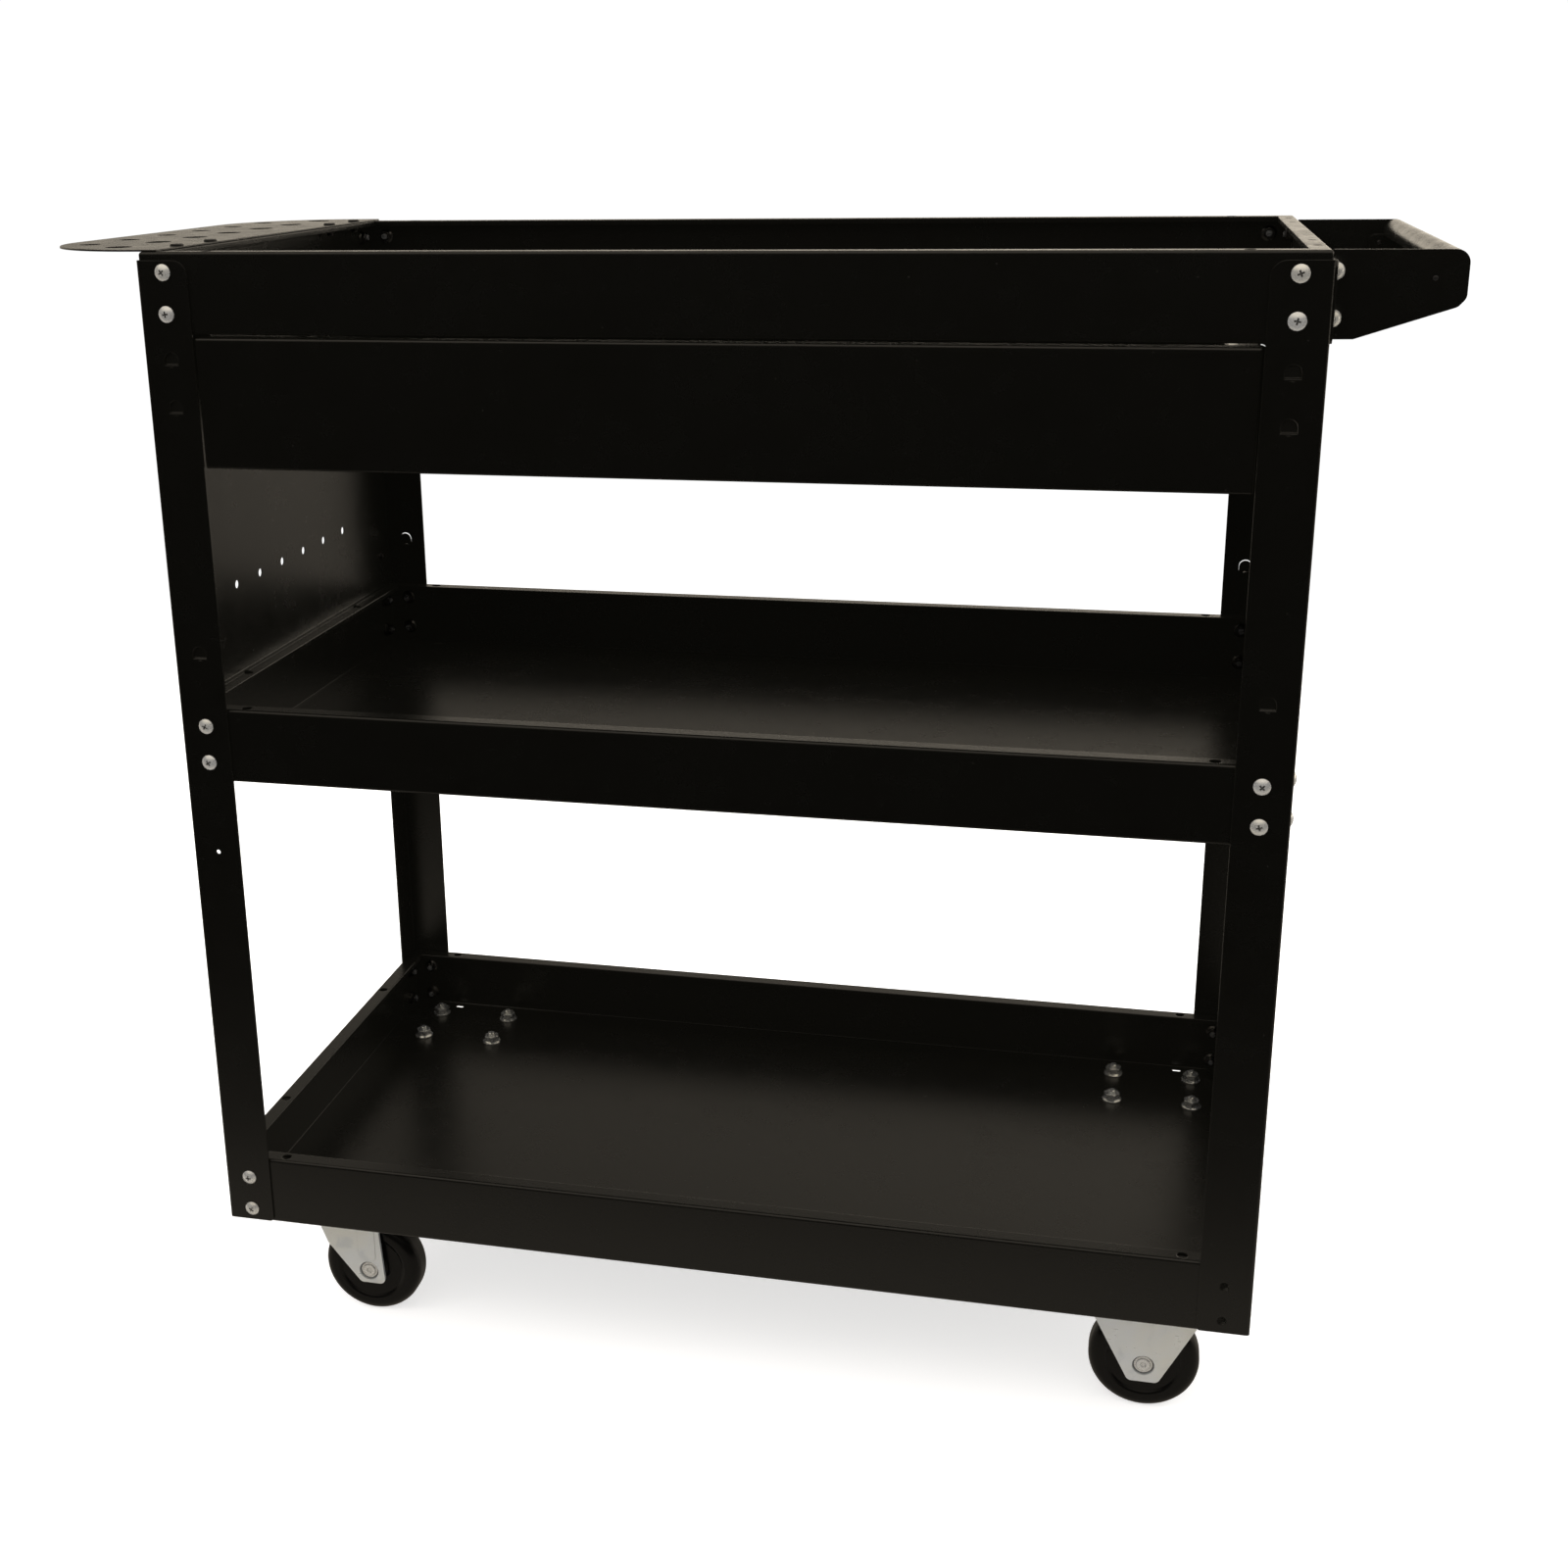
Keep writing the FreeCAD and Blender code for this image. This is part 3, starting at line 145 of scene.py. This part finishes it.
# ------------------------------------------------------------------- materials
def powder_coat(name):
    """Semi-gloss black: orange peel, sandy grain, scratches, and edges painted lighter: partly a
    thinner film, partly a painted highlight.
    """
    base = (0.0007, 0.0006, 0.00045)
    rough = 0.25
    mat, t, co, bsdf = product_material(name)
    rounded = t.rounded(radius=0.0006)
    edges = t.edges(rounded)
    broad = t.noise(co, scale=9.0, detail=4.0, rough=0.6)
    cloud = t.noise(co, scale=46.0, detail=5.0, rough=0.62, warp=0.4)
    peel = t.noise(co, scale=860.0, detail=2.0, rough=0.5)
    sand = t.noise(co, scale=2100.0, detail=2.0, rough=0.55)

    # tiny nibs of powder, kept in only a few of the cells
    cells = t.node("TexVoronoi", Vector=co, Scale=170.0)
    nib = t.remap(cells.outputs["Distance"], span=(0.10, 0.03), smooth=True)
    cell_value = t.out("SeparateColor", Color=cells.outputs["Color"])
    nib = t.times(nib, t.remap(cell_value, span=(0.965, 0.97)))

    # long fine handling scratches
    scratch = t.streaks(co, stretch=(16.0, 340.0, 340.0), turn=(0.3, 0.2, 0.5),
                        detail=4.0, rough=0.55, warp=1.2)
    scratch = t.remap(scratch, span=(0.665, 0.70), smooth=True)

    col = t.mix(t.remap(broad, span=(0.3, 0.7)), rgb(*base), scaled(base, (1.35, 1.36, 1.4)))
    # painted highlight: a lighter line along the edges, partly standing for the thinner film
    # there
    col = t.tint(col, rgb(0.012, 0.0105, 0.009), where=edges, amount=0.35)
    col = t.tint(col, rgb(0.03, 0.028, 0.025), where=nib, amount=0.5)

    gloss = t.remap(cloud, span=(0.25, 0.75), to=(rough - 0.035, rough + 0.045))
    gloss = t.add(gloss, t.remap(broad, span=(0.3, 0.7), to=(-0.02, 0.02)))
    gloss = t.math("SUBTRACT", gloss, t.times(edges, 0.06))
    gloss = t.add(gloss, t.times(scratch, 0.01), clamp=True)

    normal = t.bump(peel, strength=0.9, distance=0.00010, normal=rounded)
    normal = t.bump(sand, strength=0.9, distance=0.00004, normal=normal)
    normal = t.bump(nib, strength=0.8, distance=0.00012, normal=normal)
    # the faint emission is a painted glow, standing in for lens veil on the deepest blacks
    t.set_inputs(bsdf, Base_Color=col, Roughness=gloss, Normal=normal,
                 IOR=1.5, Specular_IOR_Level=0.5,
                 Emission_Color=rgb(0.0018, 0.0017, 0.0012), Emission_Strength=1.0)
    return mat


# footprint inside the trays, where the fastener ends are painted darker as shade
TRAY_CENTRE_X = 0.0075
TRAY_HALF_X, TRAY_HALF_Y = 0.3788, 0.1988


def inside_trays(t, co):
    place = t.node("SeparateXYZ", Vector=co)
    from_x = t.math("ABSOLUTE", t.math("SUBTRACT", place.outputs[0], TRAY_CENTRE_X))
    from_y = t.math("ABSOLUTE", place.outputs[1])
    return t.times(t.math("LESS_THAN", from_x, TRAY_HALF_X),
                   t.math("LESS_THAN", from_y, TRAY_HALF_Y))


def zinc(name, base, rough, blotch, spangle, metal, shade=0.80, painted_shade_inside=False):
    """Bright zinc plate with a faint chromate tint, dull blotches and fine rolling marks, a
    painted highlight on the edges and painted shade in crevices.

    blotch is the strength of the blotches, spangle their noise scale and shade
    the strength of the painted shade in crevices.
    """
    mat, t, co, bsdf = product_material(name)
    rounded = t.rounded(radius=0.0004)
    edges = t.edges(rounded)
    blots = t.noise(co, scale=spangle, detail=5.0, rough=0.6, warp=0.6)
    chromate = t.noise(co, scale=24.0, detail=3.0, rough=0.5, warp=0.3)
    fine = t.noise(co, scale=900.0, detail=3.0, rough=0.6)
    rolling = t.streaks(co, stretch=(60.0, 60.0, 1500.0), detail=3.0, rough=0.6)

    col = t.mix(t.remap(chromate, span=(0.35, 0.68)),
                rgb(*base), scaled(base, (1.02, 0.985, 0.90)))
    col = t.mix(t.remap(blots, span=(0.52, 0.70), to=(0.0, 0.45 * blotch), smooth=True),
                col, scaled(base, (0.66, 0.68, 0.72)))
    # painted highlight: edges painted lighter
    col = t.tint(col, rgb(0.80, 0.80, 0.79), where=edges, amount=0.4)
    # painted shade in the crevices round heads and seats, where less light reaches
    open_sky = t.node("AmbientOcclusion", settings={"samples": 6}, Distance=0.0045)
    col = t.mix(t.remap(open_sky.outputs["AO"], span=(0.30, 0.88), to=(shade, 0.0), smooth=True),
                col, rgb(0.05, 0.048, 0.044))
    # painted shade: fastener ends inside the trays darkened, as they sit in the trays' shadow
    if painted_shade_inside:
        col = t.tint(col, rgb(0.10, 0.10, 0.10), where=inside_trays(t, co), amount=0.85)

    gloss = t.remap(blots, span=(0.3, 0.75), to=(rough - 0.05, rough + 0.12))
    gloss = t.add(gloss, t.remap(rolling, span=(0.3, 0.7), to=(-0.03, 0.04)), clamp=True)
    normal = t.bump(blots, strength=0.25 * blotch, distance=0.00012, normal=rounded)
    normal = t.bump(rolling, strength=0.30, distance=0.000012, normal=normal)
    normal = t.bump(fine, strength=0.35, distance=0.00001, normal=normal)
    t.set_inputs(bsdf, Base_Color=col, Metallic=metal, Roughness=gloss, Normal=normal)
    return mat


def black_oxide(name):
    """Dark, barely metallic finish, with a painted highlight on the edges."""
    mat, t, co, bsdf = product_material(name)
    rounded = t.rounded(radius=0.0004)
    cloud = t.noise(co, scale=220.0, detail=4.0, rough=0.6)
    fine = t.noise(co, scale=1600.0, detail=2.0, rough=0.6)
    col = t.mix(cloud, rgb(0.004, 0.0036, 0.0032), rgb(0.009, 0.0082, 0.0072))
    # painted highlight: edges painted lighter
    col = t.tint(col, rgb(0.09, 0.085, 0.08), where=t.edges(rounded), amount=0.5)
    t.set_inputs(bsdf, Base_Color=col, Metallic=0.10,
                 Roughness=t.remap(cloud, span=(0.3, 0.7), to=(0.34, 0.46)),
                 Normal=t.bump(fine, strength=0.4, distance=0.00001, normal=rounded))
    return mat


def ball_steel(name):
    """Polished bearing balls."""
    mat, t, co, bsdf = product_material(name)
    cloud = t.noise(co, scale=300.0, detail=3.0, rough=0.5)
    fine = t.noise(co, scale=2500.0, detail=2.0, rough=0.5)
    t.set_inputs(bsdf, Metallic=1.0,
                 Base_Color=t.mix(cloud, rgb(0.66, 0.66, 0.67), rgb(0.74, 0.74, 0.74)),
                 Roughness=t.remap(cloud, span=(0.3, 0.7), to=(0.06, 0.12)),
                 Normal=t.bump(fine, strength=0.1, distance=0.000004))
    return mat


def slide_steel(name):
    """Zinc plated rolled sections with a light film of grease."""
    mat, t, co, bsdf = product_material(name)
    rolling = t.streaks(co, stretch=(900.0, 14.0, 900.0), detail=3.0, rough=0.6)
    film = t.noise(co, scale=40.0, detail=4.0, rough=0.6, warp=0.5)
    normal = t.bump(rolling, strength=0.35, distance=0.00001, normal=t.rounded(radius=0.0003))
    t.set_inputs(bsdf, Metallic=1.0, Normal=normal,
                 Base_Color=t.mix(film, rgb(0.60, 0.61, 0.62), rgb(0.50, 0.50, 0.48)),
                 Roughness=t.remap(film, span=(0.3, 0.7), to=(0.20, 0.34)))
    return mat


def wheel_plastic(name):
    """Glossy moulded black wheel: polished sides, tread dulled by the floor."""
    mat, t, co, bsdf = product_material(name)
    cloud = t.noise(co, scale=90.0, detail=4.0, rough=0.6)
    fine = t.noise(co, scale=1300.0, detail=2.0, rough=0.5)
    # the sides face along Y, the tread does not
    facing = t.node("SeparateXYZ", Vector=t.node("NewGeometry").outputs["Normal"])
    tread = t.remap(t.math("ABSOLUTE", facing.outputs[1]), span=(0.55, 0.15), smooth=True)
    scuff = t.times(tread, t.remap(cloud, span=(0.42, 0.62), smooth=True))

    col = t.mix(cloud, rgb(0.0020, 0.0018, 0.0016), rgb(0.0032, 0.0030, 0.0027))
    col = t.tint(col, rgb(0.022, 0.020, 0.018), where=scuff, amount=0.6)
    gloss = t.remap(cloud, span=(0.3, 0.7), to=(0.19, 0.27))
    gloss = t.add(gloss, t.times(tread, 0.16))
    gloss = t.add(gloss, t.times(scuff, 0.10), clamp=True)
    normal = t.bump(cloud, strength=0.12, distance=0.0001, normal=t.rounded(radius=0.0005))
    fine_strength = t.remap(tread, span=(0.0, 1.0), to=(0.05, 0.4))
    normal = t.bump(fine, strength=fine_strength, distance=0.00001, normal=normal)
    t.set_inputs(bsdf, Base_Color=col, Roughness=gloss, Normal=normal, Specular_IOR_Level=0.22)
    return mat


SCREW_PLATING = dict(base=(0.76, 0.77, 0.77), rough=0.24, blotch=0.15, spangle=160.0, metal=0.72)

COAT = powder_coat("powder_coat_black")
ZINC = zinc("zinc_sheet", base=(0.79, 0.83, 0.86), rough=0.32, blotch=0.7, spangle=60.0,
            metal=0.70)
SCREW = zinc("zinc_fastener", **SCREW_PLATING)
OXIDE = black_oxide("black_oxide")
BALL = ball_steel("polished_ball_steel")
SLIDE = slide_steel("slide_steel")
WHEEL = wheel_plastic("moulded_wheel_black")
LEG_SCREW = zinc("zinc_leg_fastener", painted_shade_inside=True, **SCREW_PLATING)
# painted shade: a darker copy of the nut finish for the nuts inside the trays, which sit in the
# trays' shade
LEG_NUT = zinc("zinc_leg_nut", base=(0.26, 0.26, 0.26), rough=0.14, blotch=0.1, spangle=160.0,
               metal=1.0)
NUT = zinc("zinc_nut", base=(0.78, 0.79, 0.78), rough=0.15, blotch=0.1, spangle=160.0,
           metal=0.93, shade=0.4)


def finish_for(name):
    """Material for a CAD piece; the first rule that fits its name wins."""
    if name.startswith("wheel_"):
        return WHEEL
    if "balls" in name:
        return BALL
    if name in ("holder_screws", "holder_nuts", "blind_rivets", "drawer_rivets"):
        return OXIDE
    if name.startswith("slide_") and "screws" not in name:
        return SLIDE
    if name.startswith(("caster_plate", "caster_fork", "caster_bracket")):
        return ZINC
    if name in ("leg_screws", "handle_screws"):
        return LEG_SCREW
    if name == "leg_nuts":
        return LEG_NUT
    if "nuts" in name or name == "caster_bolts":
        return NUT
    if any(part in name for part in ("screws", "nut_", "bolts", "axle", "sleeve", "kingpin")):
        return SCREW
    return COAT


for name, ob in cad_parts.items():
    finish = finish_for(name)
    if not ob.material_slots:
        ob.data.materials.append(finish)
    for slot in ob.material_slots:
        slot.material = finish


# ----------------------------------------------------------------------- floor
FLOOR_HALF_SIDE = 14.0
FLOOR_LIFT = 0.60           # glow added to the floor the camera sees
SWEEP_RADII = (1.2, 3.0)    # the floor turns into the backdrop between these
MIRROR_HALF_Y = 1.6         # the mirror ramp spans this far each way in Y
# (place along the Y span from the camera side, brightness seen in reflections)
FLOOR_MIRROR = [
    (0.0, 0.0), (0.21, 0.0), (0.33, 0.10), (0.39, 0.34),
    (0.50, 0.36), (0.60, 0.34), (0.80, 0.30), (1.0, 0.28),
]


def floor_material():
    """White sweep with a faint contact shadow; its reflections fade to dark
    towards the camera side."""
    mat, t = new_material("studio_floor")
    light_path = t.node("LightPath")
    place = t.node("SeparateXYZ", Vector=t.node("NewGeometry").outputs["Position"])
    x, y = place.outputs[:2]
    diffuse = t.out("BsdfDiffuse", Color=rgb(0.80, 0.80, 0.80))
    lift = t.out("Emission", Color=rgb(1.0, 1.0, 1.0), Strength=FLOOR_LIFT)
    near = t.out("AddShader", diffuse, lift)
    radius = t.math("POWER", t.add(t.times(x, x), t.times(y, y)), 0.5)
    backdrop = t.out("Emission", Color=rgb(1.0, 1.0, 1.0), Strength=1.02)
    sweep = t.out("MixShader", t.remap(radius, span=SWEEP_RADII, smooth=True), near, backdrop)

    glow = t.ramp(t.remap(y, span=(-MIRROR_HALF_Y, MIRROR_HALF_Y)), FLOOR_MIRROR)
    mirror = t.out("Emission", Strength=1.0,
                   Color=t.mix(glow, rgb(0, 0, 0), rgb(1.0, 0.89, 0.735)))
    seen = t.out("MixShader", light_path.outputs["Is Camera Ray"], diffuse, sweep)
    surface = t.out("MixShader", light_path.outputs["Is Glossy Ray"], seen, mirror)
    t.node("OutputMaterial", surface)
    return mat


def add_object(name, data):
    ob = bpy.data.objects.new(name, data)
    bpy.context.scene.collection.objects.link(ob)
    return ob


def build_floor():
    mat = floor_material()
    mesh = bpy.data.meshes.new("studio_floor")
    bm = bmesh.new()
    bmesh.ops.create_grid(bm, x_segments=1, y_segments=1, size=FLOOR_HALF_SIDE)
    bm.to_mesh(mesh)
    bm.free()
    ob = add_object("studio_floor", mesh)
    mesh.materials.append(mat)


# ------------------------------------------------------------------------- sky
# (upward part of the direction, brightness) on the far side and the camera side
BACK_SKY = [
    (0.0, 1.40), (0.08, 1.30), (0.17, 0.48), (0.26, 0.39),
    (0.34, 0.36), (0.50, 0.268), (0.75, 0.32), (1.0, 0.50),
]
FRONT_SKY = [(0.0, 0.02), (0.30, 0.03), (0.55, 0.45), (0.80, 0.80), (1.0, 0.70)]


def build_world():
    """Graded warm sky for reflections, even light for the rest, white for the camera."""
    world = bpy.data.worlds.new("studio")
    bpy.context.scene.world = world
    world.use_nodes = True
    t = Tree(world.node_tree)
    x, y, z = t.node("SeparateXYZ", Vector=t.node("TexCoord").outputs["Generated"]).outputs
    light_path = t.node("LightPath")
    up = t.math("MAXIMUM", z, 0.0)
    back = t.remap(y, span=(-0.12, 0.25), smooth=True)
    # the far side is brighter towards the right
    side = t.remap(x, span=(-0.55, 0.25), to=(0.58, 1.54))
    rear = t.mix(1.0, t.ramp(up, BACK_SKY), t.out("CombineXYZ", side, side, side),
                 blend="MULTIPLY")
    sky = t.mix(back, t.ramp(up, FRONT_SKY), rear)
    warm = t.mix(1.0, sky, rgb(1.0, 0.895, 0.735), blend="MULTIPLY")
    seen = t.mix(light_path.outputs["Is Glossy Ray"], rgb(1.20, 1.15, 1.10), warm)
    seen = t.mix(light_path.outputs["Is Camera Ray"], seen, rgb(1.03, 1.03, 1.03))
    t.node("OutputWorld", t.out("Background", Color=seen, Strength=1.0))


# ---------------------------------------------------------------------- lights
def softbox(name, place, target, size, power, color):
    """Rectangular light aimed at a target and hidden from reflections."""
    light = bpy.data.lights.new(name, "AREA")
    light.shape = "RECTANGLE"
    light.size, light.size_y = size
    light.energy = power
    light.color = color
    ob = add_object(name, light)
    ob.location = place
    ob.visible_glossy = False
    ob.rotation_mode = "QUATERNION"
    ob.rotation_quaternion = (Vector(target) - Vector(place)).to_track_quat("-Z", "Y")


# ---------------------------------------------------------------------- camera
CAMERA_PLACE = (0.2906917, -1.4061454, 0.9025871)
PITCH, YAW, ROLL = 0.3055196, -0.2351619, -0.0173506    # radians


def turn_z(angle):
    c, s = math.cos(angle), math.sin(angle)
    return Matrix(((c, -s, 0), (s, c, 0), (0, 0, 1)))


def turn_x(angle):
    c, s = math.cos(angle), math.sin(angle)
    return Matrix(((1, 0, 0), (0, c, -s), (0, s, c)))


def build_camera():
    camera = bpy.data.cameras.new("camera")
    camera.sensor_width = 36.0
    camera.sensor_fit = "HORIZONTAL"
    camera.lens = 44.6556
    camera.shift_x = 0.0581606
    camera.shift_y = -0.0334811
    camera.clip_start = 0.05
    camera.clip_end = 100.0
    ob = add_object("camera", camera)
    # world axes to view axes: x right, y down, z forward
    to_view = Matrix(((1, 0, 0), (0, 0, -1), (0, 1, 0)))
    right, down, forward = turn_z(ROLL) @ turn_x(PITCH) @ to_view @ turn_z(YAW)
    pose = Matrix((right, -down, -forward)).transposed().to_4x4()
    pose.translation = Vector(CAMERA_PLACE)
    ob.matrix_world = pose
    bpy.context.scene.camera = ob


build_floor()
build_world()
softbox("softbox_top", place=(0.2, 0.6, 3.2), target=(0, 0.1, 0.4), size=(2.4, 1.6),
        power=60.0, color=(1.0, 0.96, 0.92))
softbox("softbox_left", place=(-2.2, -1.6, 2.4), target=(0, 0, 0.5), size=(1.0, 1.4),
        power=12.0, color=(1.0, 0.97, 0.94))
build_camera()

view = bpy.context.scene.view_settings
view.view_transform = "Standard"
view.look = "None"
view.exposure = 0.0
view.gamma = 1.0
